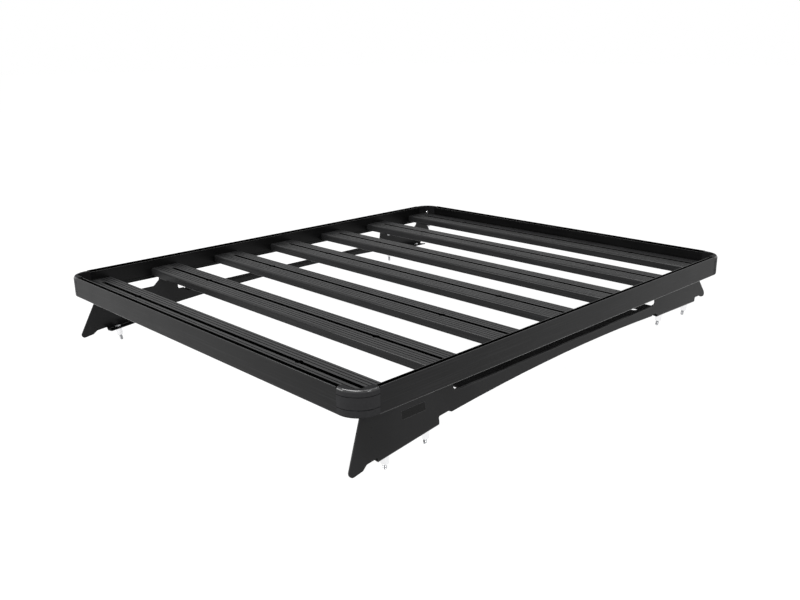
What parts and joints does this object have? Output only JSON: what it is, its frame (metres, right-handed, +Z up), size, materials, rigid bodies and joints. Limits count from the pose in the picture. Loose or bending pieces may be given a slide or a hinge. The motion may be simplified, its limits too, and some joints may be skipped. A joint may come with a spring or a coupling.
{
  "type": "platform roof rack",
  "caption": "Flat open roof-rack platform: slotted cross slats inside a rim with rounded corners, on leaning side rails with studded feet",
  "frame": {"origin": "On the floor under the middle of the rack, level with the tip of the lowest stud", "axes": "X runs across the rack to its right side, +Y to the rear, Z up"},
  "size_m": [1.138, 1.358, 0.1956],
  "materials": {
    "tray_coat": "satin charcoal powder coat",
    "corner_coat": "satin charcoal powder coat on cast aluminium",
    "foot_coat": "satin charcoal powder coat on bent steel sheet",
    "zinc_steel": "bright zinc plate",
    "corner_bolt": "plain stainless",
    "slot_plug": "moulded black plastic",
    "spacer": "bright turned sleeve"
  },
  "bodies": {
    "root": {"front_left_corner": "corner_coat", "front_left_corner_bolt": "corner_bolt", "front_rail": "tray_coat", "front_right_corner": "corner_coat", "front_right_corner_bolt": "corner_bolt", "left_foot_rail": "foot_coat", "left_front_nuts": "zinc_steel", "left_front_spacers": "spacer", "left_front_studs": "zinc_steel", "left_front_tee_bolts": "zinc_steel", "left_rail": "tray_coat", "left_rear_nuts": "zinc_steel", "left_rear_spacers": "spacer", "left_rear_studs": "zinc_steel", "left_rear_tee_bolts": "zinc_steel", "left_slat_plugs": "slot_plug", "rear_left_corner": "corner_coat", "rear_left_corner_bolt": "corner_bolt", "rear_rail": "tray_coat", "rear_right_corner": "corner_coat", "rear_right_corner_bolt": "corner_bolt", "right_foot_rail": "foot_coat", "right_front_nuts": "zinc_steel", "right_front_spacers": "spacer", "right_front_studs": "zinc_steel", "right_front_tee_bolts": "zinc_steel", "right_rail": "tray_coat", "right_rear_nuts": "zinc_steel", "right_rear_spacers": "spacer", "right_rear_studs": "zinc_steel", "right_rear_tee_bolts": "zinc_steel", "right_slat_plugs": "slot_plug", "slat_1": "tray_coat", "slat_2": "tray_coat", "slat_3": "tray_coat", "slat_4": "tray_coat", "slat_5": "tray_coat", "slat_6": "tray_coat", "slat_7": "tray_coat"}
  },
  "joints": []
}
